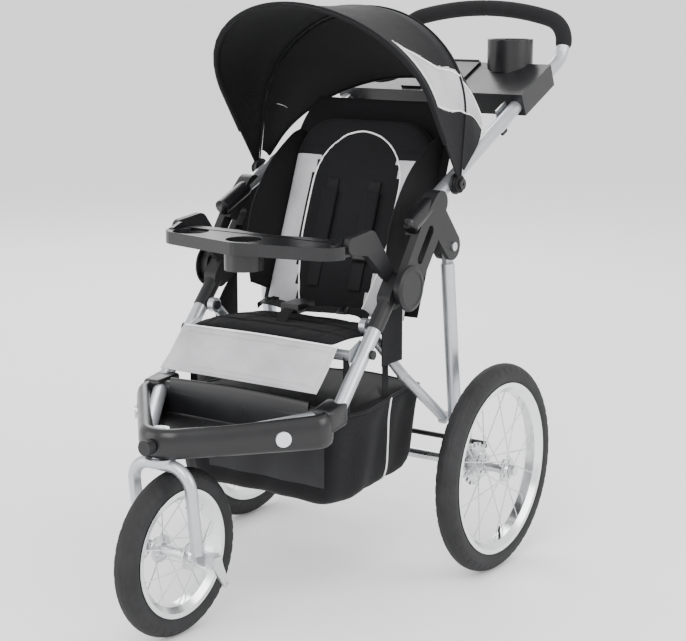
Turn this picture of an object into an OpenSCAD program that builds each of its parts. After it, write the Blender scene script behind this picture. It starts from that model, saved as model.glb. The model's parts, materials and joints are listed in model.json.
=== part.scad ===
// Three-wheel jogging stroller, standing ready for use.
// Millimetres. +Z is up, -Y is the front, +X is the child's left.
// Points written as [y, z] are measured back from the front axle and up from the ground.

/* [Wheels] */
// Outer radius of the front tyre
front_r = 143.5; // [135:0.5:150]
// Outer radius of the two rear tyres
rear_r = 194; // [188:0.5:198]
// Radius of a tyre's round section
tyre_section = 21; // [19:0.5:22]
// Sideways distance from the middle to each rear wheel
rear_track = 286; // [284:1:292]
// Distance from the front axle back to the rear axle
wheel_base = 573; // [570:1:580]
// Spokes in each wheel
spoke_count = 20; // [16:4:28]

/* [Frame tubes] */
// Outer diameter of the frame tubes
tube_d = 25.4; // [24:0.2:26]
// Wall of the frame tubes
tube_wall = 1.5; // [1.2:0.1:2]
// Sideways distance from the middle to each front tube
front_tube_x = 190; // [188:0.5:190.5]
// Sideways distance from the middle to each handle tube and rear leg
side_tube_x = 206; // [205.5:0.5:206.5]
// Sideways distance from the middle to each handle tube at the grip
grip_half = 192; // [191:0.5:193]
// Slope of the handle tubes above the ground
handle_slope = 24; // [23.5:0.5:24.5]
// Slope of the arched grip above the ground
grip_slope = 68; // [67:0.5:69]
// Outer radius of the foam grip
grip_r = 16; // [15:0.5:17]

/* [Canopy] */
// Height of the flat top of the hood above the canopy pivot
hood_rise = 308.5; // [304:0.5:312]
// Radius from the canopy pivot to the rear edge of the hood
hood_rear_r = 268; // [262:1:272]
// Half of the width inside the hood
hood_half_w = 216.5; // [216.5:0.5:218]

/* [Seat] */
// Half of the width of the seat cushions
seat_half_w = 152; // [146:1:154]
// Lean of the backrest behind the vertical
back_lean = 21; // [19:0.5:22]

/* [Hidden] */
$fn = 48;

// Places, as [y, z] from the front axle
steer_y = -33;
handle_line = [862, 864];   // a point on the axis of the straight handle tubes
hinge = [378, 553];
leg_pivot = [524.5, 607];
brace_top = [320, 491.4];
brace_bend = [438, 381];
brace_foot = [565, 275];
tray_pivot = [245, 640];
seat_fold = [452, 474];
canopy_pivot = [535, handle_z(535)];
brake_pivot = [wheel_base + 27.7, rear_r + 48.6];
brake_bar = [wheel_base + 41.6, rear_r + 27.8];

tube_r = tube_d / 2;
run_gap = 0.05;      // radial clearance of a running fit
axle_r = 6;
pin_r = 5;
hinge_pin_r = 8;
handle_start_y = 405;
knuckle_y = 815;            // where the handle tubes stop converging, inside the parent tray
rise_bend_r = 50;
corner_r = 60;
grip_apex = [1025, 1016];   // the highest point of the grip's axis
grip_turn = 75;             // how far each corner of the grip turns
grip_link = 3;              // short straight between a corner and the top arc
grip_top_r = (grip_half - corner_r * (1 - cos(grip_turn)) - grip_link * sin(grip_turn)) / cos(grip_turn);
grip_rise = corner_r * sin(grip_turn) + grip_link * cos(grip_turn) + grip_top_r * (1 - sin(grip_turn));
grip_base = grip_apex - grip_rise * [cos(grip_slope), sin(grip_slope)];
front_axle_y = -(grip_apex[0] + grip_r - front_r) / 2;
handle_start = [handle_start_y, handle_z(handle_start_y)];
knuckle = [knuckle_y, handle_z(knuckle_y)];
handle_corner = crossing(handle_line, handle_slope, grip_base, grip_slope);
bend_reach = rise_bend_r * tan((grip_slope - handle_slope) / 2);
straight_len = norm(handle_corner - knuckle) - bend_reach;

// Colours
black = [0.09, 0.09, 0.10];
silver = [0.66, 0.69, 0.72];
grey_cloth = [0.70, 0.70, 0.73];
steel = [0.78, 0.79, 0.80];
rubber = [0.17, 0.17, 0.18];

function handle_z(y) = handle_line[1] + tan(handle_slope) * (y - handle_line[0]);
// Where two sloping lines meet, each given by a point and an angle
function crossing(p, a, q, b) = let (y = ((q[1] - p[1]) - tan(b) * q[0] + tan(a) * p[0])
    / (tan(a) - tan(b))) [y, p[1] + tan(a) * (y - p[0])];
function leg_y(z) = leg_pivot[0] + (wheel_base - leg_pivot[0]) * (leg_pivot[1] - z)
    / (leg_pivot[1] - rear_r);

// Puts things measured from the front axle into the part's own frame
module from_axle() { translate([0, front_axle_y, 0]) children(); }
module both_sides() { children(); mirror([1, 0, 0]) children(); }
// A child drawn along +Z about the origin, laid along +X through [y, z]
module across(p, x = 0) { translate([x, p[0], p[1]]) rotate([0, 90, 0]) children(); }
// A flat shape drawn in y and z, given a thickness along +X from x
module slab(x, t) { translate([x, 0, 0]) rotate([90, 0, 90]) linear_extrude(t) children(); }
module rod(p, q, r) {
    v = q - p;
    translate(p) rotate([0, acos(v[2] / norm(v)), atan2(v[1], v[0])]) cylinder(h = norm(v), r = r);
}
module bend(radius, angle, r) {
    translate([radius, 0, 0]) rotate([90, 0, 180]) rotate_extrude(angle = angle)
        translate([radius, 0]) circle(r);
}
// A bent tube: each step is [straight length, roll, bend radius, bend angle]
module bent(steps, r, i = 0) {
    if (i < len(steps)) {
        s = steps[i];
        if (s[0] > 0) cylinder(h = s[0], r = r);
        if (s[3] > 0) translate([0, 0, s[0]]) rotate([0, 0, s[1]]) {
            bend(s[2], s[3], r);
            translate([s[2] * (1 - cos(s[3])), 0, s[2] * sin(s[3])]) rotate([0, s[3], 0])
                rotate([0, 0, -s[1]]) bent(steps, r, i + 1);
        }
    }
}

// ---- Wheels: drawn about +Z at the origin, then laid across the frame ----
module tyre(outer) {
    mid = outer - tyre_section;
    bead = mid - 18.3;
    rotate_extrude($fn = 96) difference() {
        translate([mid, 0]) circle(tyre_section);
        translate([mid, 0]) circle(tyre_section - 2.6);
        translate([0, -50]) square([bead, 100]);
    }
}
module inner_tube(outer, angle) {
    mid = outer - tyre_section;
    rim_floor = mid - 17.6;
    color(rubber) {
        rotate_extrude($fn = 96) difference() {
            translate([mid, 0]) circle(tyre_section - 2.9);
            translate([mid, 0]) circle(tyre_section - 4.4);
            translate([0, -50]) square([rim_floor - 0.2, 100]);
        }
        rotate([0, 0, angle]) translate([rim_floor - 32, 0, 0]) rotate([0, 90, 0])
            cylinder(h = 32.6, r = 2.6, $fn = 24);
    }
}
module rim(outer, valve_angle) {
    f = outer - tyre_section - 18.5;
    color(steel) difference() {
        rotate_extrude($fn = 96) polygon([[f + 5, 17.6], [f + 5, 16], [f, 15.8], [f, -15.8],
            [f + 5, -16], [f + 5, -17.6], [f - 3, -17.2], [f - 13, -9], [f - 13, 9], [f - 3, 17.2]]);
        rotate_extrude($fn = 96) polygon([[f - 2, 13.5], [f - 2, -13.5], [f - 11.5, -7], [f - 11.5, 7]]);
        rotate([0, 0, valve_angle]) translate([f - 20, 0, 0]) rotate([0, 90, 0])
            cylinder(h = 40, r = 3.1, $fn = 24);
    }
}
module spokes(outer, flange) {
    rim_in = outer - tyre_section - 18.5 - 12.5;
    color(steel) for (k = [0 : spoke_count - 1]) {
        side = k % 2 == 0 ? 1 : -1;
        lead = floor(k / 2) % 2 == 0 ? 38 : -38;
        a = k * 360 / spoke_count;
        rod([19 * cos(a + lead), 19 * sin(a + lead), side * flange], [rim_in * cos(a), rim_in * sin(a),
            side * 4], 1.1, $fn = 16);
    }
}
module hub(flange) {
    color(steel) difference() {
        rotate_extrude() polygon([[axle_r + run_gap, -flange - 7], [10, -flange - 7], [12, -flange - 2],
            [24, -flange - 2], [24, -flange + 1.5], [10, -flange + 5], [9, 0], [10, flange - 5],
            [24, flange - 1.5], [24, flange + 2], [12, flange + 2], [10, flange + 7],
            [axle_r + run_gap, flange + 7]]);
        for (k = [0 : 4]) rotate([0, 0, k * 72 + 18]) translate([15.5, 0, -flange - 10])
            cylinder(h = 2 * flange + 20, r = 3, $fn = 20);
    }
}
module at_front_wheel() { from_axle() across([0, front_r]) children(); }
module at_rear_wheel(side) { from_axle() across([wheel_base, rear_r], side * rear_track) children(); }
front_flange = 33;
rear_flange = 25;

module front_tyre() { color(rubber) at_front_wheel() tyre(front_r); }
module front_inner_tube() { at_front_wheel() inner_tube(front_r, 155); }
module front_rim() { at_front_wheel() rim(front_r, 155); }
module front_spokes() { at_front_wheel() spokes(front_r, front_flange); }
module front_hub() { at_front_wheel() hub(front_flange); }
module front_axle() {
    color(steel) from_axle() {
        across([0, front_r], -70) cylinder(h = 154, r = axle_r);
        across([0, front_r], -79) cylinder(h = 9, r = 11, $fn = 6);
    }
}
// Curved cam lever on the child's left end of the front axle
module quick_release_lever() {
    color(steel) from_axle() translate([71.5, 0, front_r]) {
        difference() {
            translate([0, -11, -11]) cube([13, 22, 22]);
            rotate([0, 90, 0]) translate([0, 0, -1]) cylinder(h = 15, r = axle_r + run_gap);
        }
        translate([13, 0, 0]) rotate([90, 0, 90]) linear_extrude(5) difference() {
            polygon([[-9, 9], [9, 9], [14, -10], [30, -46], [20, -50], [0, -24], [-9, -9]]);
            translate([22, -43]) circle(2.5);
        }
    }
}

// ---- Fork: an upside-down U of tube that swivels in the head tube ----
fork_tilt = 7;
fork_half = 60;
fork_d = 21;
fork_foot = [-16, 156];
module fork_path(r) {
    drop = 112;
    translate([-fork_half, fork_foot[0], fork_foot[1]]) rotate([fork_tilt, 0, 0])
        bent([[drop, 0, 38, 90], [2 * fork_half - 76, 0, 38, 90], [drop, 0, 1, 0]], r);
}
module fork() {
    color(silver) from_axle() {
        difference() { fork_path(fork_d / 2); fork_path(fork_d / 2 - 1.6); }
        both_sides() difference() {
            slab(fork_half - 2.5, 5) polygon([[-26, 160], [-8, 160], [11, 148], [11, 133], [-4, 131],
                [-24, 146]]);
            across([0, front_r], fork_half - 4) cylinder(h = 8, r = axle_r + 0.1);
        }
        translate([0, steer_y, 314]) cylinder(h = 52, r = 9);
    }
    color(black) from_axle() translate([0, steer_y, 308]) difference() {
        cylinder(h = 8, r = 25);
        translate([0, 0, -1]) cylinder(h = 10, r = 8.9);
    }
}
// Head tube: the steel sleeve under the footrest that the fork turns in
module head_tube() {
    color(steel) from_axle() translate([0, steer_y, 317]) difference() {
        union() {
            cylinder(h = 48, r = 16);
            translate([-34, -9, 6]) cube([68, 18, 30]);
        }
        translate([0, 0, -1]) cylinder(h = 52, r = 9 + run_gap);
    }
}
// Spring knob on the front of the nose that locks the swivel
lock_z = 340;
module swivel_lock_knob() {
    color(black) from_axle() translate([0, -57, lock_z]) rotate([90, 0, 0]) {
        cylinder(h = 16, r = 13, $fn = 12);
        translate([0, 0, -7]) cylinder(h = 7, r = 4);
    }
}

// ---- Footrest: a moulded tray between the nose and both front tubes ----
tray_floor = 316;
module front_tubes() {
    color(silver) from_axle() both_sides() {
        difference() { front_leg(tube_r); front_leg(tube_r - tube_wall); }
    }
}
// Each side has two straight tubes, whose ends meet inside the side wing of the tray
front_elbow = [front_tube_x, 196, 364];
upper_way = [0, 160, 172] / norm([0, 160, 172]);
lower_way = ([34, steer_y + 6, 342] - front_elbow) / norm([34, steer_y + 6, 342] - front_elbow);
module front_leg(r) {
    rod(front_elbow + 7 * upper_way, [front_tube_x, 356, 536], r);
    rod(front_elbow + 7 * lower_way, [34, steer_y + 6, 342], r);
}
module tray_outline(inset = 0) {
    hull() {
        translate([0, 2]) circle(58 - inset, $fn = 32);
        for (s = [-1, 1]) translate([s * 168, 157]) circle(36 - inset, $fn = 32);
    }
}
module footrest_tray() {
    color(black) from_axle() difference() {
        union() {
            difference() {
                translate([0, 0, tray_floor]) linear_extrude(52) tray_outline();
                translate([0, 0, tray_floor + 8]) linear_extrude(60) tray_outline(26);
            }
            translate([-150, 164, tray_floor + 8]) rotate([-8, 0, 0]) cube([300, 5, 66]);
            both_sides() translate([168, 164, tray_floor + 30]) cube([36, 46, 36]);
        }
        both_sides() front_leg(tube_r + 0.4);
        translate([0, steer_y, tray_floor - 1]) cylinder(h = 60, r = 17);
        translate([-36, steer_y - 11, tray_floor - 1]) cube([72, 22, 52]);
        translate([0, -44, lock_z]) rotate([90, 0, 0]) cylinder(h = 20, r = 4.3);
    }
}
module reflectors() {
    color([0.86, 0.87, 0.88]) from_axle() both_sides() translate([150, 97, 342])
        rotate([0, 90, -41.8]) translate([0, 0, 9.3]) cylinder(h = 4.7, r = 13);
}
module tube_sleeves() {
    color(black) from_axle() both_sides() difference() {
        rod([front_tube_x, 352, 531.7], [front_tube_x, 311, 487.6], tube_r + 1.6);
        rod([front_tube_x, 360, 540.3], [front_tube_x, 300, 475.8], tube_r + 0.1);
    }
}
// Tubes across the frame that the seat fabric hangs from
crossbar_front = [262, 450];
module seat_crossbars() {
    color(silver) from_axle() {
        across(crossbar_front, -(front_tube_x - tube_r - 1)) difference() {
            cylinder(h = 2 * (front_tube_x - tube_r - 1), r = 9.5);
            translate([0, 0, -1]) cylinder(h = 400, r = 8.1);
        }
        both_sides() slab(front_tube_x - tube_r - 1, 2)
            polygon([[252, 440], [252, 460], [286, 474], [296, 466], [272, 440]]);
    }
}
module frame_bolts() {
    color(black) from_axle() both_sides() {
        across([283, 451.6], front_tube_x + tube_r + 0.2) cylinder(h = 5, r = 8);
        across(brace_top, brace_x - 8.6) cylinder(h = 3.2, r = 8);
        across(brace_top, brace_x - 5.4) cylinder(h = front_tube_x - tube_r - 1.8 - brace_x + 5.4,
            r = pin_r);
    }
}

// ---- Side hinges ----
module lower_hinges() {
    color(black) from_axle() both_sides() {
        difference() {
            slab(front_tube_x - 13, 26.5) hull() {
                translate(hinge) circle(25, $fn = 32);
                translate([356, 536]) circle(18, $fn = 32);
            }
            rod([front_tube_x, 362, 542.5], [front_tube_x, 300, 475.8], tube_r + 0.1);
        }
        across(hinge, front_tube_x + 13.5) cylinder(h = housing_out + 0.5 - front_tube_x - 13.5,
            r = hinge_pin_r);
    }
}
module hinge_caps() {
    color(black) from_axle() both_sides() difference() {
        across(hinge, housing_out + 0.6) rotate_extrude() polygon([[0, 0], [40, 0], [40, 3], [34, 6],
            [0, 7]]);
        across(hinge, housing_out + 6) cylinder(h = 3, r = 30);
    }
}
housing_in = side_tube_x - 13.5;
housing_out = side_tube_x + 13.5;
housing_thin = front_tube_x + 14.7;   // inner face of the part that turns beside the lower hinge
slot_half = 5.5;                      // half of the slot that the tongue of a leg turns in
module housing_outline() {
    hull() {
        translate(hinge) circle(30, $fn = 32);
        translate([443, 640]) circle(33, $fn = 32);
        translate([482, 690]) circle(22, $fn = 32);
    }
    hull() {
        translate([470, 668]) circle(27, $fn = 32);
        translate(leg_pivot) circle(25, $fn = 32);
    }
}
module upper_hinges() {
    color(black) from_axle() both_sides() difference() {
        slab(housing_in, housing_out - housing_in) housing_outline();
        across(hinge, housing_in - 1) cylinder(h = housing_thin - housing_in + 1, r = 92);
        across(hinge, 0) cylinder(h = 300, r = hinge_pin_r + run_gap);
        across(leg_pivot, 0) cylinder(h = 300, r = pin_r + 0.02);
        // slot that the tongue at the top of the leg swings in
        slab(side_tube_x - slot_half, 2 * slot_half) union() {
            translate(leg_pivot) circle(17);
            for (a = [-125 : 14 : -83]) translate(leg_pivot) rotate(a) translate([0, -13])
                square([40, 26]);
        }
        handle_side(1, tube_r + 0.1);
        // long oval opening beside the tube
        slab(0, 300) hull() {
            translate([412, 600]) circle(9, $fn = 32);
            translate([447, 645.5]) circle(9, $fn = 32);
        }
    }
}
module leg_pivot_pins() {
    color(steel) from_axle() both_sides() {
        across(leg_pivot, housing_in + 0.5) cylinder(h = housing_out + 3 - housing_in, r = pin_r);
        across(leg_pivot, housing_out + 0.2) cylinder(h = 4, r = 8);
    }
}

// ---- Handle: a side tube from each hinge, and the arched grip tube that joins them ----
// +Z points up the handle from the knuckle, +X towards its upper side
module on_knuckle(side) {
    translate([side * grip_half, knuckle[0], knuckle[1]]) rotate([handle_slope - 90, 0, 0])
        rotate([0, 0, -90]) children();
}
// The straight lower length of one side, which stops just short of the knuckle
module handle_side(side, r) {
    back = 0.6 / norm(knuckle - handle_start);
    rod([side * side_tube_x, handle_start[0], handle_start[1]], [side * grip_half,
        knuckle[0] - back * (knuckle[0] - handle_start[0]),
        knuckle[1] - back * (knuckle[1] - handle_start[1])], r);
}
module handle_tube() {
    color(silver) from_axle() for (side = [-1, 1]) {
        difference() { handle_side(side, tube_r); handle_side(side, tube_r - tube_wall); }
        on_knuckle(side) difference() {
            cylinder(h = straight_len - grip_gap, r = tube_r);
            translate([0, 0, -1]) cylinder(h = straight_len + 1, r = tube_r - tube_wall);
        }
    }
}
grip_gap = 0.3;      // joint between a side tube and the grip tube
bend_start = knuckle + straight_len * [cos(handle_slope), sin(handle_slope)];
// Places along the grip tube, each with its two directions square to the tube
function rise_frame(side, a) = [[side * grip_half,
    bend_start[0] + rise_bend_r * (sin(a) - sin(handle_slope)),
    bend_start[1] + rise_bend_r * (cos(handle_slope) - cos(a))], [side, 0, 0], [0, -sin(a), cos(a)]];
// Half of the arch as [sideways, up the arch, heading]
half_arch = concat(
    [for (k = [0 : 6]) let (a = k * grip_turn / 6) [grip_half - corner_r * (1 - cos(a)),
        corner_r * sin(a), a]],
    [for (k = [0 : 3]) let (a = grip_turn + k * (90 - grip_turn) / 3) [grip_top_r * cos(a),
        grip_rise - grip_top_r * (1 - sin(a)), a]]);
arch_line = concat(half_arch, [for (k = [len(half_arch) - 2 : -1 : 0]) let (p = half_arch[k])
    [-p[0], p[1], 180 - p[2]]]);
arch_frames = [for (p = arch_line) [[p[0], grip_base[0] + p[1] * cos(grip_slope),
    grip_base[1] + p[1] * sin(grip_slope)], [cos(p[2]), sin(p[2]) * cos(grip_slope),
    sin(p[2]) * sin(grip_slope)], [0, -sin(grip_slope), cos(grip_slope)]]];
rise_step = (grip_slope - handle_slope) / 4;
grip_frames = concat([for (k = [0 : 4]) rise_frame(1, handle_slope + k * rise_step)], arch_frames,
    [for (k = [4 : -1 : 0]) rise_frame(-1, handle_slope + k * rise_step)]);
// A round bar swept through a list of places
module swept_bar(frames, r, sides = 20) {
    n = len(frames);
    polyhedron([for (q = frames, k = [0 : sides - 1]) let (f = k * 360 / sides)
            q[0] + r * cos(f) * q[1] + r * sin(f) * q[2]],
        concat([[for (k = [sides - 1 : -1 : 0]) k]], [[for (k = [0 : sides - 1]) (n - 1) * sides + k]],
            [for (i = [0 : n - 2], k = [0 : sides - 1]) let (m = (k + 1) % sides)
                [i * sides + k, i * sides + m, (i + 1) * sides + m, (i + 1) * sides + k]]));
}
module grip_tube() { color(silver) from_axle() swept_bar(grip_frames, tube_r - 0.3); }
// The foam grip covers the arch only
module foam_grip() {
    color(black) from_axle() difference() {
        swept_bar(arch_frames, grip_r);
        swept_bar(arch_frames, tube_r - 0.1);
    }
}

// Draws things in the plane of the handle tubes: x sideways, y up the slope, z square to it
module on_handle(y0) {
    translate([0, y0, handle_z(y0)]) rotate([handle_slope, 0, 0]) children();
}
tray_y0 = 800;
tray_len = 128;
tray_half = grip_half + 19;
cup_r = 38;
cup_at = [118, 912, 896];
cup_h = 63;
module parent_tray() {
    color(black) from_axle() difference() {
        union() {
            on_handle(tray_y0) translate([-tray_half, 0, -18]) cube([2 * tray_half, tray_len, 44]);
            translate(cup_at) cylinder(h = cup_h, r = cup_r + 7);
        }
        // open underneath between the tubes, leaving a floor
        on_handle(tray_y0) translate([-grip_half + 20, 5, -19]) cube([2 * grip_half - 40, tray_len - 10, 13]);
        // storage well in the middle and a round pocket on the far side
        on_handle(tray_y0) translate([-62, 12, 0]) cube([118, tray_len - 24, 40]);
        on_handle(tray_y0) translate([-cup_at[0] - 8, tray_len / 2, 2]) cylinder(h = 60, r = cup_r);
        translate(cup_at + [0, 0, 4]) cylinder(h = 90, r = cup_r);
        for (side = [-1, 1]) {
            handle_side(side, tube_r + 0.1);
            translate([side * grip_half, knuckle[0], knuckle[1]]) sphere(tube_r + 1.1);
            on_knuckle(side) cylinder(h = straight_len, r = tube_r + 0.1);
        }
    }
}
module storage_lid() {
    color(black) from_axle() on_handle(tray_y0) {
        difference() {
            translate([-64, 10, 26.6]) cube([122, tray_len - 14, 4]);
            translate([-20, 4, 26]) cube([34, 12, 6]);
        }
        translate([-60, tray_len - 3.5, 31]) rotate([0, 90, 0]) cylinder(h = 114, r = 2.2);
    }
}

// ---- Fold latches just below the parent tray ----
latch_y = 776;
latch_x = grip_half - tube_r - 3.4;
module latch_brackets() {
    color(steel) from_axle() both_sides() on_handle(latch_y) difference() {
        union() {
            translate([latch_x, -22, -4]) cube([2.6, 40, 20]);
            translate([latch_x, -16, -34]) cube([2.6, 30, 32]);
        }
        translate([0, 0, -22]) rotate([0, 90, 0]) cylinder(h = 300, r = 3.2);
        translate([0, 6, -6]) rotate([0, 90, 0]) cylinder(h = 300, r = 2.5);
    }
}
module fold_trigger() {
    color(black) from_axle() on_handle(latch_y) translate([latch_x - 5.6, 0, 0]) {
        translate([0, 0, -22]) rotate([0, 90, 0]) cylinder(h = 9.5, r = 3.1);
        difference() {
            translate([0, -9, -44]) cube([5, 18, 32]);
            translate([-1, 0, -37]) rotate([0, 90, 0]) cylinder(h = 7, r = 3);
        }
    }
}
module fold_trigger_left() { fold_trigger(); }
module fold_trigger_right() { mirror([1, 0, 0]) fold_trigger(); }

// ---- Canopy: bows and panels that nest as they turn about the canopy pivot ----
hood_start = 39;     // angle of the rear edge of the hood above the ground
hood_split = 81;     // angle of the middle bow
hood_end = 123;      // angle of the front bow
hood_crown = 190;    // height of the rounded top of each arch
skin = 2.4;
bow_g = skin + 1;    // how far outside the rear panel the middle bow lies
front_g = skin + 4.8;
mount_x = side_tube_x + 9;
// Radius from the canopy pivot to the crown of the arch that stands at an angle
function crown(a) = a < 90 ? hood_rear_r + (hood_rise - hood_rear_r) * (a - hood_start)
    / (90 - hood_start) : hood_rise / sin(a);
// Half of an arch's outline as [sideways, radius from the pivot], grown outwards by g
function arch(a, g, foot) = concat([[-hood_half_w - g, foot]],
    [for (k = [0 : 20]) [-(hood_half_w + g) * cos(9 * k), crown(a) - hood_crown
        + (hood_crown + g) * sin(9 * k)]], [[hood_half_w + g, foot]]);
function reversed(list) = [for (k = [len(list) - 1 : -1 : 0]) list[k]];
// The closed outline of a band of thickness t, placed at an angle about the pivot
function ring(a, g, t, foot) = [for (p = concat(arch(a, g, foot), reversed(arch(a, g + t, foot))))
    [p[0], canopy_pivot[0] + p[1] * cos(a), canopy_pivot[1] + p[1] * sin(a)]];
// A sheet swept from one angle to another through rings of points
module hood_sheet(a0, a1, g, t, foot, steps) {
    rings = [for (k = [0 : steps]) ring(a0 + (a1 - a0) * k / steps, g, t, foot)];
    n = len(rings[0]);
    half = n / 2;
    polyhedron([for (r = rings) each r], concat(
        [for (j = [0 : half - 2]) [j, j + 1, n - 2 - j, n - 1 - j]],
        [for (j = [0 : half - 2]) let (s = steps * n) [s + n - 1 - j, s + n - 2 - j, s + j + 1, s + j]],
        [for (k = [0 : steps - 1], j = [0 : n - 1]) let (i = (j + 1) % n)
            [k * n + j, (k + 1) * n + j, (k + 1) * n + i, k * n + i]]));
}
module canopy_mounts() {
    color(black) from_axle() both_sides() difference() {
        union() {
            across(canopy_pivot, mount_x) cylinder(h = 4.2, r = 19);
            across(canopy_pivot, mount_x) cylinder(h = 15.5, r = 6);
            across(canopy_pivot, mount_x + 15.3) cylinder(h = 2.5, r = 10);
        }
        across(canopy_pivot, mount_x + 8) cylinder(h = 30, r = 2.5);
    }
}
// The eye at each foot of a bow that turns on the canopy pin
module bow_eyes(g, t) {
    from_axle() both_sides() across(canopy_pivot, hood_half_w + g) difference() {
        cylinder(h = t, r = 16);
        translate([0, 0, -1]) cylinder(h = t + 2, r = 6 + run_gap);
    }
}
module canopy_rear_panel() {
    color(black) from_axle() hood_sheet(hood_start, hood_split - 1, 0, skin, 34, 6);
}
module canopy_middle_bow() {
    color(black) {
        from_axle() hood_sheet(hood_split - 1.2, hood_split + 1.2, bow_g, 3, 12, 1);
        bow_eyes(bow_g, 3);
    }
}
module canopy_front_panel() {
    color(grey_cloth) from_axle() hood_sheet(hood_split, hood_end - 0.2, front_g, skin, 34, 6);
}
module canopy_front_bow() {
    color(black) {
        from_axle() hood_sheet(hood_end, hood_end + 2.2, front_g, 3, 12, 1);
        bow_eyes(front_g, 3);
    }
}

// ---- Seat, harness and basket ----
module seat_cushion() {
    color(black) from_axle() slab(-seat_half_w, 2 * seat_half_w)
        polygon([[240, 467], [245, 478], [300, 482], [440, 470], [440, 446], [300, 456], [250, 461],
            [242, 461]]);
}
module calf_rest() {
    color(grey_cloth) from_axle() slab(-171, 342)
        polygon([[230, 473], [238, 462], [186, 408], [174, 401], [168, 408]]);
}
module side_panels() {
    color(black) from_axle() both_sides() slab(front_tube_x - 8, 2.5)
        polygon([[346, 416], [412, 416], [412, 548], [372, 512], [346, 480]]);
}
buckle_at = [352, 502];
module buckle() {
    color(black) from_axle() translate([0, buckle_at[0], buckle_at[1]]) difference() {
        translate([-19, -26, -8]) cube([38, 52, 16]);
        translate([-11, -40, -3]) cube([22, 14.1, 6]);
    }
}
module lap_straps() {
    color(black) from_axle() {
        both_sides() translate([20, buckle_at[0] - 12, buckle_at[1] - 4]) rotate([0, 0, 24])
            cube([92, 25, 2]);
        translate([-12.5, 306, 483]) cube([25, 18, 22]);
    }
}
module lean_back() {
    translate([0, seat_fold[0], seat_fold[1]]) rotate([-back_lean, 0, 0]) children();
}
module backrest() {
    color(black) from_axle() lean_back() difference() {
        translate([-seat_half_w, 0, 4]) cube([2 * seat_half_w, 28, 364]);
        both_sides() difference() {
            translate([seat_half_w - 70, -1, 298]) cube([80, 30, 80]);
            translate([seat_half_w - 70, -1, 298]) rotate([-90, 0, 0]) cylinder(h = 30, r = 70);
        }
    }
}
module shoulder_straps() {
    color(black) from_axle() lean_back() both_sides() {
        translate([34, -4.5, 40]) cube([25, 4, 214]);
        translate([30, -12, 120]) cube([33, 7, 110]);
    }
}
basket_z = 176;
module basket_plan(inset) {
    polygon([[-168 + inset, 214 + inset], [168 - inset, 214 + inset], [180 - inset, 300],
        [150 - inset, 540 - inset], [-150 + inset, 540 - inset], [-180 + inset, 300]]);
}
module basket() {
    color(black) from_axle() difference() {
        translate([0, 0, basket_z]) linear_extrude(170) basket_plan(0);
        translate([0, 0, basket_z + 5]) linear_extrude(200) basket_plan(5);
    }
}
module basket_straps() {
    color(black) from_axle() both_sides() {
        translate([152.3, 394, 346.5]) cube([2, 20, 104]);
        translate([166, 250, 346.5]) cube([2, 20, 96]);
    }
}
module recline_strap() {
    color(black) from_axle() translate([74, 0, 0]) {
        rod([0, 704, 826], [0, 700, 872], 3);
        translate([-13, 690, 848]) cube([26, 6, 20]);
        translate([-12.5, 702, 800]) cube([25, 2, 78]);
    }
}

// ---- Rear: legs, braces, axle and brake ----
brace_x = 165;
brace_r = 9.5;
brace_foot_x = 180;
module braces() {
    lead = 12 * (brace_bend - brace_top) / norm(brace_bend - brace_top);
    bend = [brace_x + 3, brace_bend[0], brace_bend[1]];
    color(silver) from_axle() both_sides() difference() {
        union() {
            rod([brace_x, brace_top[0] + lead[0], brace_top[1] + lead[1]], bend, brace_r);
            translate(bend) sphere(brace_r + 1);
            rod(bend, [brace_foot_x, brace_foot[0], brace_foot[1]], brace_r);
            across(brace_top, brace_x - 5) cylinder(h = 12, r = 13);
            across(brace_foot, brace_foot_x - 5) cylinder(h = 10, r = 12);
        }
        across(brace_top, 100) cylinder(h = 100, r = pin_r + run_gap);
        across(brace_foot, 100) cylinder(h = 100, r = pin_r);
    }
}
leg_neck = 32;      // from the pivot to where the tube of a leg begins
module rear_legs() {
    foot = [leg_y(rear_r + 20), rear_r + 20];
    run = (foot - leg_pivot) / norm(foot - leg_pivot);
    neck = leg_pivot + leg_neck * run;
    color(silver) from_axle() both_sides() difference() {
        union() {
            difference() {
                rod([side_tube_x, neck[0], neck[1]], [side_tube_x, foot[0], foot[1]], tube_r);
                rod([side_tube_x, neck[0] + 16 * run[0], neck[1] + 16 * run[1]],
                    [side_tube_x, foot[0] - 8 * run[0], foot[1] - 8 * run[1]], tube_r - tube_wall);
            }
            slab(side_tube_x - slot_half + 0.6, 2 * slot_half - 1.2) translate(leg_pivot) {
                circle(14);
                rotate(atan2(run[1], run[0])) translate([0, -11]) square([leg_neck + 4, 22]);
            }
        }
        across(leg_pivot, 100) cylinder(h = 300, r = pin_r + run_gap);
    }
}
axle_block_x = side_tube_x - 14;
module rear_axle() {
    stub_end = rear_track + 36;
    color(steel) from_axle() {
        across([wheel_base, rear_r], -axle_block_x + 0.5) difference() {
            cylinder(h = 2 * axle_block_x - 1, r = 10);
            translate([0, 0, 30]) cylinder(h = 2 * axle_block_x - 61, r = 8);
        }
        both_sides() {
            across([wheel_base, rear_r], axle_block_x - 6) cylinder(h = stub_end - axle_block_x + 6,
                r = axle_r);
            across([wheel_base, rear_r], rear_track + 33) cylinder(h = 10, r = 10, $fn = 6);
        }
    }
}
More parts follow.
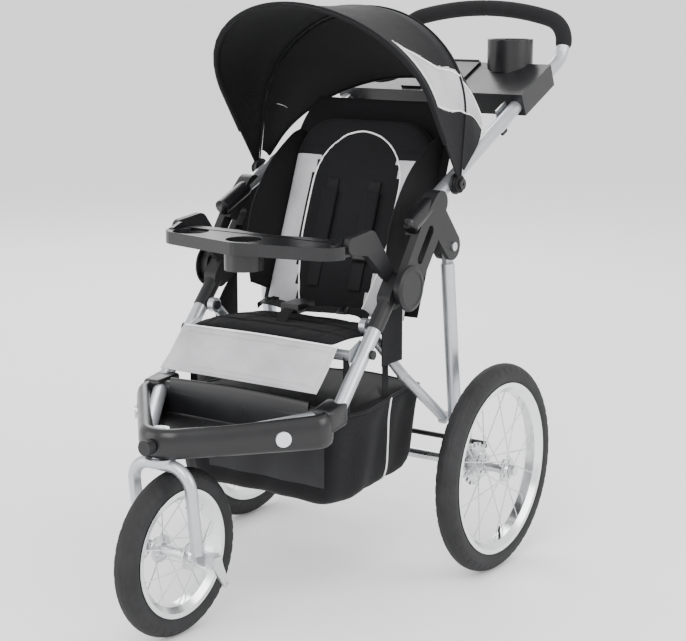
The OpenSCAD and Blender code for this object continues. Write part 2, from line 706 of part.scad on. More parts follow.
module axle_brackets() {
    color(steel) from_axle() both_sides() {
        difference() {
            union() {
                slab(side_tube_x + tube_r + 0.3, 3) polygon([[547, 306], [575, 306], [601, 262],
                    [598, 190], [586, 172], [558, 172], [550, 214]]);
                slab(axle_block_x, 27.2) polygon([[553, 234], [590, 234], [594, 182], [556, 182]]);
                slab(axle_block_x + 7, 8) hull() {
                    translate([580, 222]) circle(10, $fn = 32);
                    translate(brake_pivot) circle(10, $fn = 32);
                }
            }
            across([wheel_base, rear_r], 100) cylinder(h = 300, r = axle_r + 0.1);
            across([584, 270], 210) cylinder(h = 300, r = 8);
            rod([side_tube_x, leg_pivot[0], leg_pivot[1]],
                [side_tube_x, leg_y(rear_r + 19.8), rear_r + 19.8], tube_r + 0.2);
        }
        across(brake_pivot, axle_block_x - 2) cylinder(h = 10, r = pin_r);
    }
}
module brake_pedal() {
    pawl_x = rear_track - rear_flange - 18.5;
    color(black) from_axle() {
        across(brake_bar, 1.2 - pawl_x) cylinder(h = 2 * pawl_x - 2.4, r = 5);
        translate([-60, brake_bar[0] + 1, brake_bar[1] - 3]) rotate([-38, 0, 0]) cube([120, 36, 6]);
        both_sides() {
            difference() {
                slab(axle_block_x - 1.5, 8) hull() {
                    translate(brake_pivot) circle(9, $fn = 32);
                    translate(brake_bar) circle(7, $fn = 32);
                }
                across(brake_pivot, 100) cylinder(h = 100, r = pin_r + run_gap);
            }
            across(brake_bar, pawl_x - 3) rotate([0, 0, 154]) translate([-7.5, -2, 0]) cube([7.5, 4, 7]);
        }
    }
}
// Toothed brake disc, part of the inner end of each rear hub
module brake_disc() {
    color(black) translate([0, 0, -rear_flange - 19]) difference() {
        union() {
            cylinder(h = 5, r = 34);
            for (k = [0 : 15]) rotate([0, 0, k * 22.5]) translate([32, -3.5, 0]) cube([8, 7, 5]);
            cylinder(h = 12, r = 14);
        }
        translate([0, 0, -1]) cylinder(h = 14, r = axle_r + run_gap);
    }
}
module rear_hub(side) {
    at_rear_wheel(side) {
        hub(rear_flange);
        if (side > 0) brake_disc(); else mirror([0, 0, 1]) brake_disc();
    }
}
tray_arm_x = 169;
bracket_x = 178;
module child_tray() {
    color(black) from_axle() difference() {
        union() {
            translate([0, 0, 622]) linear_extrude(22) difference() {
                hull() {
                    translate([0, 200]) circle(44, $fn = 32);
                    for (s = [-1, 1]) translate([s * 144, 230]) circle(44, $fn = 32);
                }
                translate([0, 470]) circle(208);
            }
            both_sides() slab(tray_arm_x, 8) hull() {
                translate([tray_pivot[0] - 8, tray_pivot[1]]) circle(14, $fn = 32);
                translate([tray_pivot[0] - 26, tray_pivot[1] - 5]) circle(13, $fn = 32);
            }
            translate([0, 196, 592]) cylinder(h = 34, r = 34);
        }
        both_sides() translate([bracket_x - 0.7, 226, 600]) cube([20, 60, 60]);
        translate([0, 196, 596]) cylinder(h = 60, r = 31);
        translate([-132, 216, 628]) cylinder(h = 30, r = 32);
        across(tray_pivot, -300) cylinder(h = 600, r = pin_r + run_gap);
    }
}
module tray_brackets() {
    color(black) from_axle() both_sides() {
        slab(bracket_x, 12) hull() {
            translate([tray_pivot[0] + 3, tray_pivot[1] + 2]) circle(15, $fn = 32);
            translate([300, 640]) circle(22, $fn = 32);
        }
        slab(bracket_x, 12) hull() {
            translate([300, 640]) circle(22, $fn = 32);
            translate([358, 582]) circle(14, $fn = 32);
        }
        across(tray_pivot, tray_arm_x - 1) cylinder(h = bracket_x - tray_arm_x + 1, r = pin_r);
    }
}

module rear_tyre_left() { color(rubber) at_rear_wheel(1) tyre(rear_r); }
module rear_tyre_right() { color(rubber) at_rear_wheel(-1) tyre(rear_r); }
module rear_rim_left() { at_rear_wheel(1) rim(rear_r, 10); }
module rear_rim_right() { at_rear_wheel(-1) rim(rear_r, 10); }
module rear_spokes_left() { at_rear_wheel(1) spokes(rear_r, rear_flange); }
module rear_spokes_right() { at_rear_wheel(-1) spokes(rear_r, rear_flange); }
module rear_hub_left() { rear_hub(1); }
module rear_hub_right() { rear_hub(-1); }
module rear_tube_left() { at_rear_wheel(1) inner_tube(rear_r, 10); }
module rear_tube_right() { at_rear_wheel(-1) inner_tube(rear_r, 10); }

front_tyre();
front_inner_tube();
front_rim();
front_spokes();
front_hub();
front_axle();
quick_release_lever();
fork();
swivel_lock_knob();
head_tube();
footrest_tray();
reflectors();
front_tubes();
tube_sleeves();
seat_crossbars();
frame_bolts();
lower_hinges();
hinge_caps();
tray_brackets();
child_tray();
seat_cushion();
calf_rest();
side_panels();
buckle();
lap_straps();
backrest();
shoulder_straps();
basket();
basket_straps();
handle_tube();
grip_tube();
foam_grip();
parent_tray();
storage_lid();
upper_hinges();
leg_pivot_pins();
latch_brackets();
fold_trigger_left();
fold_trigger_right();
canopy_mounts();
canopy_rear_panel();
recline_strap();
canopy_middle_bow();
canopy_front_bow();
canopy_front_panel();
braces();
rear_legs();
rear_axle();
axle_brackets();
brake_pedal();
rear_tyre_left();
rear_rim_left();
rear_spokes_left();
rear_hub_left();
rear_tube_left();
rear_tyre_right();
rear_rim_right();
rear_spokes_right();
rear_hub_right();
rear_tube_right();
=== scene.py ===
# %% [markdown]
# # A jogging stroller, dressed over its working frame
# The frame, wheels and hinges arrive as finished solids that already move. This lesson gives them
# their finishes, and replaces every soft part and the tyres with finer meshes made in code.
# The frame is loaded first, because every later piece is placed by it and rides on one of its bodies.

# %% Load the frame
import json
import math

import bpy
import numpy as np
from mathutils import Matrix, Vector


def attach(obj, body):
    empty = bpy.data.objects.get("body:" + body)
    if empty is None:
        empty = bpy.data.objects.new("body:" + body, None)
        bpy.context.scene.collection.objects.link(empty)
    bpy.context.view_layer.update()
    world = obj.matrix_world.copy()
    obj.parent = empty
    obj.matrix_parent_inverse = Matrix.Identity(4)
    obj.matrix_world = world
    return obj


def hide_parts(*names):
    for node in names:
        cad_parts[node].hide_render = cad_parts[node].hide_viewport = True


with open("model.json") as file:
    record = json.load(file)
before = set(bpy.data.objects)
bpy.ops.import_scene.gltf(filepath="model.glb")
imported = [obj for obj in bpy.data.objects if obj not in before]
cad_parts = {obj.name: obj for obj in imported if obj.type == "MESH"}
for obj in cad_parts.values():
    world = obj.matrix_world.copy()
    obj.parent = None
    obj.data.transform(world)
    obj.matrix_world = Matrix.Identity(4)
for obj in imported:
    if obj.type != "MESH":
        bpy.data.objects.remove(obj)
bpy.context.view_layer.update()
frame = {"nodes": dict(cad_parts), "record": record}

MM = 0.001
AXLE_Y = -0.44875          # the front axle, in the frame's own y

# %% [markdown]
# ## Places in millimetres
# The stroller was laid out in millimetres from the front axle, so a small helper turns such a place
# into metres in the frame. Arrays of places are easier to shape than single vertices: a whole row
# of a quilt or a hoop is moved with one line of arithmetic.

# %% Places and paths
def spot(x, y, z):
    return np.array([x * MM, y * MM + AXLE_Y, z * MM])


def spots(points):
    return np.array([spot(*p) for p in points])


def eased(points, count):
    """A smooth path of count places through the given ones."""
    p = np.asarray(points, float)
    p = np.vstack([2 * p[0] - p[1], p, 2 * p[-1] - p[-2]])
    out = []
    for t in np.linspace(0, len(p) - 3 - 1e-9, count):
        i = int(t)
        u, a, b, c, d = t - i, p[i], p[i + 1], p[i + 2], p[i + 3]
        out.append(0.5 * (2 * b + (c - a) * u + (2 * a - 5 * b + 4 * c - d) * u * u
                          + (3 * b - a - 3 * c + d) * u ** 3))
    return np.array(out)


print("front axle at y =", AXLE_Y)

# %% [markdown]
# ## From rows of places to a mesh
# Most pieces here are a grid: rows of places joined by four-sided faces. A strap, a hoop and a
# piping cord are the same thing with the rows closed into rings. One helper makes them all, so
# that each piece below is only its own shape.

# %% Make meshes from rows
def skin(name, rows, body, finishes, ringed=False, capped=False, looped=False, pick=None):
    rows = np.asarray(rows, float)
    n, m = rows.shape[:2]
    faces, cells = [], []
    for i in range(n if looped else n - 1):
        for j in range(m if ringed else m - 1):
            a, b = i * m + j, i * m + (j + 1) % m
            c, d = ((i + 1) % n) * m + (j + 1) % m, ((i + 1) % n) * m + j
            faces.append((a, b, c, d))
            cells.append((i, j))
    if capped:
        faces += [tuple(range(m - 1, -1, -1)), tuple(range((n - 1) * m, n * m))]
        cells += [(0, 0), (n - 1, 0)]
    mesh = bpy.data.meshes.new(name)
    mesh.from_pydata(rows.reshape(-1, 3).tolist(), [], faces)
    mesh.polygons.foreach_set("use_smooth", [True] * len(faces))
    for f in finishes:
        mesh.materials.append(f)
    if pick is not None:
        mesh.polygons.foreach_set("material_index", [int(pick(i, j)) for i, j in cells])
    mesh.update()
    piece = bpy.data.objects.new(name, mesh)
    bpy.context.scene.collection.objects.link(piece)
    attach(piece, body)
    return piece


def thicken(piece, thick, lining=0):
    """Gives a sheet its thickness; lining is how many finishes further on its other face takes."""
    shell = piece.modifiers.new("cloth thickness", "SOLIDIFY")
    shell.thickness, shell.offset, shell.material_offset = thick * MM, 0.0, lining


print("mesh helpers ready")

# %% [markdown]
# ## Straps and cords
# Webbing, piping and bent bars all come from one idea: a small outline carried along a path. The
# outline has to stay square to the path and must not spin about it. A flat strap is told which way
# is across, and a round cord carries its last direction on to the next place.

# %% Carry an outline along a path
def swept(path, section, side=None):
    """Rings of a section carried along a path; side keeps a flat strap from twisting."""
    path = np.asarray(path, float)
    t = np.gradient(path, axis=0)
    t /= np.linalg.norm(t, axis=1)[:, None]
    rows, across = [], None
    for p, d in zip(path, t):
        if side is not None:
            across = np.asarray(side, float)
        elif across is None:
            across = np.cross(d, [0.31, 0.17, 0.93])
        across = across - d * np.dot(across, d)
        across /= np.linalg.norm(across)
        up = np.cross(d, across)
        rows.append([p + across * a + up * b for a, b in section])
    return np.array(rows)


def round_section(r, m=12):
    return [(r * MM * math.cos(k * math.tau / m), r * MM * math.sin(k * math.tau / m)) for k in range(m)]


def flat_section(width, thick, m=16):
    out = []
    for k in range(m):
        c, s = math.cos(k * math.tau / m), math.sin(k * math.tau / m)
        out.append((width / 2 * MM * math.copysign(abs(c) ** 0.35, c),
                    thick / 2 * MM * math.copysign(abs(s) ** 0.8, s)))
    return out


def cordlike(name, path, r, body, finish, m=10):
    return skin(name, swept(path, round_section(r, m)), body, [finish], ringed=True, capped=True)


def strap(name, path, width, thick, body, finish, side=(1, 0, 0), count=24):
    return skin(name, swept(eased(path, count), flat_section(width, thick), side), body, [finish],
                ringed=True, capped=True)


print("strap and cord helpers ready")

# %% [markdown]
# ## Measuring cloth
# Cloth is cut flat before it is hung, so the flat size of a sheet is worked out from its grid. The area is summed
# over the grid, and the width is that area divided by the length of the middle row.

# %% Measure a sheet
def area_of(rows, ringed=False):
    rows = np.asarray(rows)
    if ringed:
        rows = np.concatenate([rows, rows[:, :1]], axis=1)
    a = np.cross(rows[1:, :-1] - rows[:-1, :-1], rows[:-1, 1:] - rows[:-1, :-1])
    b = np.cross(rows[1:, 1:] - rows[1:, :-1], rows[1:, 1:] - rows[:-1, 1:])
    return 0.5 * (np.linalg.norm(a, axis=2).sum() + np.linalg.norm(b, axis=2).sum())


def cut_size(rows, ringed=False):
    """The flat size a sheet was cut to: its area over the length of its middle row."""
    rows = np.asarray(rows)
    middle = rows[len(rows) // 2]
    length = np.linalg.norm(np.diff(middle, axis=0), axis=1).sum()
    return (float(area_of(rows, ringed) / length), float(length))


print("measures ready")

# %% [markdown]
# ## Finishes
# Each finish is a small tree of nodes. The colour varies a little over the surface, the roughness
# is broken up, and fine grain or weave comes from bump. Patterns use object coordinates in metres,
# so a weave has its real size on every piece and needs no unwrapping.

# %% A base for every finish
def finish_base(name, colour, rough, metal=0.0, vary=0.12, vary_scale=30.0, rounded=0.0, specular=0.5):
    made = bpy.data.materials.new(name)
    made.use_nodes = True
    tree = made.node_tree
    shade = tree.nodes["Principled BSDF"]
    shade.inputs["Metallic"].default_value = metal
    shade.inputs["Specular IOR Level"].default_value = specular
    where = tree.nodes.new("ShaderNodeTexCoord")
    cloud = tree.nodes.new("ShaderNodeTexNoise")
    cloud.inputs["Scale"].default_value = vary_scale
    cloud.inputs["Detail"].default_value = 6
    tree.links.new(where.outputs["Object"], cloud.inputs["Vector"])
    tint = tree.nodes.new("ShaderNodeValToRGB")
    tint.color_ramp.elements[0].position, tint.color_ramp.elements[1].position = 0.3, 0.7
    tint.color_ramp.elements[0].color = [c * (1 - vary) for c in colour] + [1]
    tint.color_ramp.elements[1].color = [min(1, c * (1 + vary)) for c in colour] + [1]
    tree.links.new(cloud.outputs["Fac"], tint.inputs["Fac"])
    tree.links.new(tint.outputs["Color"], shade.inputs["Base Color"])
    gloss = tree.nodes.new("ShaderNodeMapRange")
    gloss.inputs["To Min"].default_value = max(0.03, rough - 0.07)
    gloss.inputs["To Max"].default_value = min(1, rough + 0.07)
    tree.links.new(cloud.outputs["Fac"], gloss.inputs["Value"])
    tree.links.new(gloss.outputs["Result"], shade.inputs["Roughness"])
    if rounded:
        edge = tree.nodes.new("ShaderNodeBevel")
        edge.samples = 4
        edge.inputs["Radius"].default_value = rounded * MM
        tree.links.new(edge.outputs["Normal"], shade.inputs["Normal"])
    return made, tree, shade, where


def add_bump(tree, shade, height, depth, strength=1.0):
    bump = tree.nodes.new("ShaderNodeBump")
    bump.inputs["Distance"].default_value = depth * MM
    bump.inputs["Strength"].default_value = strength
    tree.links.new(height, bump.inputs["Height"])
    if shade.inputs["Normal"].is_linked:
        tree.links.new(shade.inputs["Normal"].links[0].from_socket, bump.inputs["Normal"])
    tree.links.new(bump.outputs["Normal"], shade.inputs["Normal"])


print("base finish ready")

# %% [markdown]
# ## Hard finishes
# Moulded plastic has a fine spark-eroded grain that only shows as a soft highlight. Painted tube
# carries metal flake. Bare steel and polished alloy differ mainly in roughness. The edges of the
# solids are sharp, so the shader rounds them for the light by a fraction of a millimetre.

# %% Hard finishes
def grainy(name, colour, rough, metal, grain, depth, rounded, vary=0.12, specular=0.5):
    made, tree, shade, where = finish_base(name, colour, rough, metal, vary, 25, rounded, specular)
    speck = tree.nodes.new("ShaderNodeTexNoise")
    speck.inputs["Scale"].default_value = grain
    speck.inputs["Detail"].default_value = 3
    tree.links.new(where.outputs["Object"], speck.inputs["Vector"])
    add_bump(tree, shade, speck.outputs["Fac"], depth)
    return made


plastic = grainy("moulded black plastic", (0.009, 0.009, 0.010), 0.46, 0, 900, 0.12, 0.9, 0.12, 0.32)
satin_plastic = grainy("satin black plastic", (0.008, 0.008, 0.009), 0.3, 0, 1200, 0.05, 1.2, 0.12, 0.4)
tube_paint = grainy("silver tube paint", (0.46, 0.48, 0.50), 0.33, 0.75, 2500, 0.02, 0.4, 0.05)
bare_steel = grainy("zinc plated steel", (0.62, 0.63, 0.64), 0.28, 1, 700, 0.03, 0.4, 0.08)
alloy = grainy("polished alloy", (0.80, 0.81, 0.82), 0.2, 1, 500, 0.02, 0.4, 0.05)
tyre_black = grainy("tyre rubber", (0.019, 0.019, 0.020), 0.72, 0, 700, 0.25, 0.0, 0.25, 0.25)
foam_black = grainy("closed cell foam", (0.012, 0.012, 0.013), 0.9, 0, 1400, 0.5, 0.0, 0.2, 0.2)
print("hard finishes: plastic, paint, steel, alloy, rubber, foam")

# %% [markdown]
# ## Reflector lens
# A reflector is a moulded lens with rows of tiny prisms behind a smooth face. A pattern of small
# cells in the bump under a clear coat gives the same broken sparkle without modelling the prisms.

# %% Reflector lens
def lens_finish():
    made, tree, shade, where = finish_base("reflector lens", (0.70, 0.72, 0.74), 0.18, 0.6, 0.05, 60, 0.5)
    cells = tree.nodes.new("ShaderNodeTexVoronoi")
    cells.inputs["Scale"].default_value = 420
    tree.links.new(where.outputs["Object"], cells.inputs["Vector"])
    add_bump(tree, shade, cells.outputs["Distance"], 0.5)
    shade.inputs["Coat Weight"].default_value = 0.6
    return made


lens = lens_finish()
print("lens made")

# %% [markdown]
# ## Woven cloth and webbing
# The seat and hood are plain-woven polyester. Two sets of waves at right angles stand for warp and
# weft, each thread about a millimetre and a half across. Sheen lifts the cloth where it turns away
# from the eye, as the loose fibres do. Webbing has one heavier rib across its width.

# %% Woven finishes
def woven(name, colour, thread, sheen, rough=0.85, ribbed=False):
    made, tree, shade, where = finish_base(name, colour, rough, 0, 0.16, 14, 0.0, 0.15)
    shade.inputs["Sheen Weight"].default_value = sheen
    shade.inputs["Sheen Roughness"].default_value = 0.5
    waves = []
    for way in (("Z",) if ribbed else ("X", "Z", "Y")):
        wave = tree.nodes.new("ShaderNodeTexWave")
        wave.wave_type, wave.bands_direction = "BANDS", way
        wave.inputs["Scale"].default_value = 0.314 / (thread * MM)
        wave.inputs["Distortion"].default_value = 0.4
        tree.links.new(where.outputs["Object"], wave.inputs["Vector"])
        waves.append(wave)
    height = waves[0].outputs["Fac"]
    for wave in waves[1:]:
        both = tree.nodes.new("ShaderNodeMath")
        both.operation = "MULTIPLY_ADD"
        tree.links.new(height, both.inputs[0])
        tree.links.new(wave.outputs["Fac"], both.inputs[1])
        both.inputs[2].default_value = 0.1
        height = both.outputs[0]
    add_bump(tree, shade, height, 0.35, 0.7)
    folds = tree.nodes.new("ShaderNodeTexNoise")
    folds.inputs["Scale"].default_value = 22
    folds.inputs["Detail"].default_value = 2
    tree.links.new(where.outputs["Object"], folds.inputs["Vector"])
    add_bump(tree, shade, folds.outputs["Fac"], 2.2, 0.6)
    return made


black_cloth = woven("black woven cloth", (0.0075, 0.0075, 0.0085), 1.5, 0.03)
hood_cloth = woven("black hood cloth", (0.0065, 0.0065, 0.0075), 1.2, 0.025, 0.75)
grey_cloth = woven("light grey woven cloth", (0.44, 0.43, 0.45), 1.5, 0.15)
white_piping = woven("white reflective piping", (0.86, 0.86, 0.86), 0.9, 0.1, 0.5)
belt = woven("black webbing", (0.008, 0.008, 0.009), 1.8, 0.04, 0.7, True)
net = woven("basket net", (0.03, 0.03, 0.032), 3.0, 0.1, 0.8)
print("woven finishes: cloth, piping, webbing, net")

# %% [markdown]
# ## Give every solid its finish
# The working solids keep their shape, so they only need finishes. The record names what each one is
# made of. A few nodes differ from their group, such as the glossy tray rims, and are named apart.

# %% Finishes for the solids
by_slot = {"tyre_rubber": tyre_black, "rim_alloy": alloy, "steel": bare_steel, "silver_paint": tube_paint,
           "black_plastic": plastic, "gloss_black": satin_plastic, "foam": foam_black,
           "black_cloth": hood_cloth, "grey_cloth": grey_cloth, "webbing": belt, "reflector": lens}
satin_nodes = {"child_tray", "parent_tray", "storage_lid", "footrest_tray"}
slot_of = {s["node"]: s["material_slot"] for s in frame["record"]["subparts"]}
for name, solid in frame["nodes"].items():
    finish = satin_plastic if name in satin_nodes else by_slot[slot_of[name]]
    solid.data.materials.clear()
    solid.data.materials.append(finish)
print("finished solids:", len(slot_of))

# %% [markdown]
# ## Footrest tray
# The tray is one moulding with a fat rolled rim, a sunken well and side wings that swallow the ends of
# the frame tubes. It is lofted as closed rings: up the outside, over the round rim, down the inner
# wall and across the floor. Each ring is the same rounded outline, drawn in or out and lifted.

# %% Footrest tray
def tray_ring(inset, z, count=220):
    """The outline of the tray at a height: three arcs and the straights between them."""
    arcs = [((0, 2), 58), ((168, 157), 36), ((-168, 157), 36)]
    line = []
    for k in range(720):
        a = math.radians(-90 + k / 2)
        d = np.array([math.cos(a), math.sin(a)])
        c, r = max(arcs, key=lambda q: q[0][0] * d[0] + q[0][1] * d[1] + q[1])
        line.append(np.array(c) + d * (r - inset))
    line = np.array(line + [line[0]])
    run = np.concatenate([[0], np.cumsum(np.linalg.norm(np.diff(line, axis=0), axis=1))])
    even = np.linspace(0, run[-1], count, endpoint=False)
    x, y = np.interp(even, run, line[:, 0]), np.interp(even, run, line[:, 1])
    lift = 10 * np.clip((y - 20) / 150, 0, 1) ** 1.5 * np.clip((z - 330) / 38, 0, 1)
    back = np.clip((y - 182) / 12, 0, 1) * np.clip((z - 330) / 38, 0, 1) * 14 * (np.abs(x) < 150)
    return np.stack([x * MM, y * MM + AXLE_Y, (z + lift - back) * MM], 1)


# each step is how far in from the outline, and how high: underside, outer face, rolled rim, well
rim_section = [(40, 316), (20, 316), (8, 317.5), (2.5, 322), (0.4, 330), (0, 342), (0.6, 353),
               (3, 361), (7.5, 366.2), (13, 368), (18.5, 366.6), (23, 361.5), (25.2, 354),
               (26.2, 344), (27, 334), (29, 327.5), (34, 325), (40, 324.4)]
tray_rows = np.array([tray_ring(inset, z) for inset, z in rim_section])
tray = skin("footrest_moulding", tray_rows, "front_frame", [satin_plastic], ringed=True, capped=True)
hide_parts("footrest_tray")


print("tray rim round", round(area_of(tray_rows, True), 3), "m2")

# %% [markdown]
# ## Tray wings and back wall
# A lump of plastic stands on each side of the tray, where the frame tubes go in, and a thin wall
# rises behind the well. A few four-cornered rings and a bevel are enough for a lump. The wall is one
# row of places along it for each step up one face, over its rounded top and down the other.

# %% Tray wings and back wall
def wing_ring(side, z):
    return spots([(side * 167, 158, z), (side * 204, 160, z - 2), (side * 204, 212, z + 6),
                  (side * 160, 214, z + 6)])


for side, word in ((1, "left"), (-1, "right")):
    wing = skin("tray_wing_" + word, [wing_ring(side, z) for z in (340, 352, 380)], "front_frame",
                [satin_plastic], ringed=True, capped=True)
    soft = wing.modifiers.new("rounded edges", "BEVEL")
    soft.width, soft.segments, soft.limit_method = 7 * MM, 3, "NONE"

# each step is a share of the wall's half thickness, and how high
wall_steps = [(-1, 0), (-1, 30), (-1, 60), (-0.8, 66), (0, 68), (0.8, 66), (1, 60), (1, 30), (1, 0)]
wall_rows = np.array([[spot(x, 165 + 0.139 * h + 2.6 * t, 318 + h + 4 * math.cos(x / 96))
                       for x in np.linspace(-150, 150, 40)] for t, h in wall_steps])
skin("tray_back_wall", wall_rows, "front_frame", [satin_plastic])
print("tray wings: 2, back wall: 1")

# %% [markdown]
# ## Tube collars
# Each handle tube ends inside its side hub. A plastic collar covers the open end of the tube there,
# swept along the line of the tube and closed by a domed face.

# %% Tube collars
def handle_height(y):
    return 864 + math.tan(math.radians(24)) * (y - 862)


collar_r = np.array([4, 9, 12.5, 14.2, 15] + [15.2] * 16 + [15.4, 14.8, 13.0])[:, None, None]
for side, word in ((1, "left"), (-1, "right")):
    line = [(side * x, y, handle_height(y)) for x, y in ((206, 399), (205.9, 403), (204.8, 440), (203.8, 470))]
    rings = swept(eased(spots(line), len(collar_r)), round_section(1, 24))
    middle = rings.mean(axis=1, keepdims=True)
    skin("handle_collar_" + word, middle + (rings - middle) * collar_r, "handle_frame",
         [satin_plastic], ringed=True, capped=True)
print("tube collars: 2")

# %% [markdown]
# ## Tyres
# A bicycle tyre is a ring with a rounded section, cut by wavy grooves along the tread and short
# grooves across the shoulders, with a raised line on each sidewall. The ring is made as a fine grid
# and every vertex is pushed in or out along its section, which is quicker than cutting the grooves.

# %% Tyres
def groove(offset, centre, width):
    return np.exp(-((offset - centre) / width) ** 2)


def tyre(name, x, y, z, outer, node, body):
    around, across = (420, 72) if outer > 150 else (320, 72)
    turn = np.linspace(0, math.tau, around, endpoint=False)[:, None]
    lean = np.linspace(-152, 152, across)[None, :]
    waves = 26 if outer > 150 else 20
    sway = 4.5 * np.sin(waves * turn)
    r = 20.6 - 0.9 * groove(lean, 16 + sway, 2.6) - 0.9 * groove(lean, -16 + sway, 2.6)
    r = r - 1.0 * groove(lean, 40 - sway, 2.8) - 1.0 * groove(lean, -40 - sway, 2.8)
    bars = np.clip(np.sin(2 * waves * turn + np.sign(lean) * 0.9) * 4 - 2.2, 0, 1)
    r = r - 0.9 * bars * ((np.abs(lean) > 44) & (np.abs(lean) < 72))
    r = r - 0.5 * (np.abs(lean) > 76) + 0.5 * groove(np.abs(lean), 108, 2.2)
    r = np.broadcast_to(r, (around, across))
    a = np.radians(np.broadcast_to(lean, (around, across)))
    rho = np.maximum(outer - 21 + r * np.cos(a), outer - 38.6)
    side = x + r * np.sin(a)
    rows = np.stack([side * MM, y * MM + AXLE_Y + rho * np.cos(turn) * MM,
                     (z + rho * np.sin(turn)) * MM], axis=2)
    piece = skin(name, rows, body, [tyre_black], ringed=True, looped=True)
    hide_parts(node)


tyre("front_tyre_tread", 0, 0, 143.5, 143.5, "front_tyre", "front_wheel")
for side, word in ((1, "left"), (-1, "right")):
    tyre("rear_tyre_tread_" + word, side * 286, 573, 194, 194, "rear_tyre_" + word, "rear_wheel_" + word)
print("tyres: 3")

# %% [markdown]
# ## Foam grip
# The grip is a foam tube pushed over the bent handle. It is made by carrying a ring along the same
# bends, a little larger near the middle, with the butt joint of its two halves pressed in as a line.

# %% Foam grip
grip_half, slope, corner, turn_by, link = 192, math.radians(68), 60, math.radians(75), 3
top_r = (grip_half - corner * (1 - math.cos(turn_by)) - link * math.sin(turn_by)) / math.cos(turn_by)
rise = corner * math.sin(turn_by) + link * math.cos(turn_by) + top_r * (1 - math.sin(turn_by))
base = np.array([1025, 1016]) - rise * np.array([math.cos(slope), math.sin(slope)])
half = [(grip_half - corner * (1 - math.cos(a)), corner * math.sin(a)) for a in np.linspace(0, turn_by, 9)]
half += [(top_r * math.cos(a), rise - top_r * (1 - math.sin(a)))
         for a in np.linspace(turn_by, math.pi / 2, 16)]
arch = half + [(-x, up) for x, up in half[-2::-1]]
grip_path = eased(spots([(x, base[0] + up * math.cos(slope), base[1] + up * math.sin(slope))
                         for x, up in arch]), 220)
grip_rows = swept(grip_path, round_section(1, 28), (0, -math.sin(slope), math.cos(slope)))
for i, centre in enumerate(grip_path):
    pinch = 1.6 * math.exp(-(centre[0] / (1.3 * MM)) ** 2)
    ends = 1.6 * math.exp(-min(i, len(grip_path) - 1 - i) / 1.5)
    grip_rows[i] = centre + (grip_rows[i] - centre) * (16.2 - pinch - ends)
grip = skin("foam_sleeve", grip_rows, "handle_frame", [foam_black], ringed=True, capped=True)
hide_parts("foam_grip")
print("grip length %.0f mm" % (np.linalg.norm(np.diff(grip_path, axis=0), axis=1).sum() / MM))

# %% [markdown]
# ## Hood cloth
# The hood is cloth stretched over hoops that fan out from one pivot on each side. Each row of the
# grid is one hoop at its own angle: up a straight side, over a rounded top and down again. Between
# two hoops the cloth dips a little, and pulls into faint folds near the pivots.

# %% The shape of a hoop
def hoop_reach(a):
    return 268 + 40.5 * (a - 39) / 51 if a < 90 else 308.5 / math.sin(math.radians(a))


def hoop(a, g, foot, count, dip=0.0):
    reach = hoop_reach(a)
    side = [(-(216.5 + g), r) for r in np.linspace(foot, reach - 190, 12, endpoint=False)]
    over = [(-(216.5 + g) * math.cos(t), reach - 190 + (190 + g) * math.sin(t))
            for t in np.linspace(0, math.pi, 60)]
    line = np.array(side + over + [(-x, r) for x, r in side[::-1]])
    run = np.concatenate([[0], np.cumsum(np.linalg.norm(np.diff(line, axis=0), axis=1))])
    even = np.linspace(0, run[-1], count)
    x, r = np.interp(even, run, line[:, 0]), np.interp(even, run, line[:, 1])
    middle = np.array([0, (reach - 60)])
    inward = middle - np.stack([x, r], 1)
    inward /= np.linalg.norm(inward, axis=1)[:, None] + 1e-9
    rise_up = np.clip((r - foot) / 160, 0, 1)[:, None]
    x, r = (np.stack([x, r], 1) + inward * dip * rise_up).T
    c, s = math.cos(math.radians(a)), math.sin(math.radians(a))
    return np.stack([x * MM, (535 + r * c) * MM + AXLE_Y, (718.41 + r * s) * MM], 1)


def hood_rows(a0, a1, g, foot, steps, count, dip):
    out = []
    for k in range(steps + 1):
        f = k / steps
        a = a0 + (a1 - a0) * f
        sag = dip * math.sin(math.pi * f) ** 0.8
        row, low = hoop(a, g, foot, count), hoop(a, g, foot, count, 1)
        s = np.linspace(0, 1, count)
        pull = 1.2 * np.sin(46 * s + 5 * f) * np.sin(math.pi * f) * np.exp(-np.minimum(s, 1 - s) * 7)
        out.append(row + (low - row) * (sag + pull)[:, None])
    return np.array(out)


print("hoop reach at the front %.0f mm" % hoop_reach(124))

# %% [markdown]
# ## The grey band
# A light grey band with white piping crosses each side of the hood from its front edge to the rear.
# The band is coloured face by face on a fine grid, and the piping cords then cover the boundary, as
# the real piping covers the seam between the two cloths.

# %% Hood panels with their band
PIVOT = spot(0, 535, 718.41)


def turn_of(place, reach):
    """How far round the hoop a place is, as the angle used for the band, -X side 0 and +X side 180."""
    r = math.hypot(place[1] - PIVOT[1], place[2] - PIVOT[2]) / MM
    return math.degrees(math.atan2(r - (reach - 190), -place[0] / MM))


band_top = ([39, 42, 80, 101, 116, 119, 123], [150, 150, 157, 155, 146, 141, 136])
band_low = ([39, 80, 110, 119, 123], [161, 176, 178.5, 179.5, 180])
band_front = 118.5


def in_band(a, t):
    t = max(t, 180 - t)
    return a < band_front and np.interp(a, *band_top) < t < np.interp(a, *band_low)


def hood_panel(name, node, body, a0, a1, g, foot, steps, dip):
    count = 300
    rows = hood_rows(a0, a1, g, foot, steps, count, dip)
    shade = []
    for i in range(steps):
        a = a0 + (a1 - a0) * (i + 0.5) / steps
        shade.append([in_band(a, turn_of(place, hoop_reach(a))) for place in rows[i]])
    # the lining is black everywhere, so only the outer face, two finishes further on, has the band
    piece = skin(name, rows, body, [hood_cloth, hood_cloth, hood_cloth, grey_cloth],
                 pick=lambda i, j: shade[i][j])
    thicken(piece, 1.4, lining=2)
    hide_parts(node)
    return rows


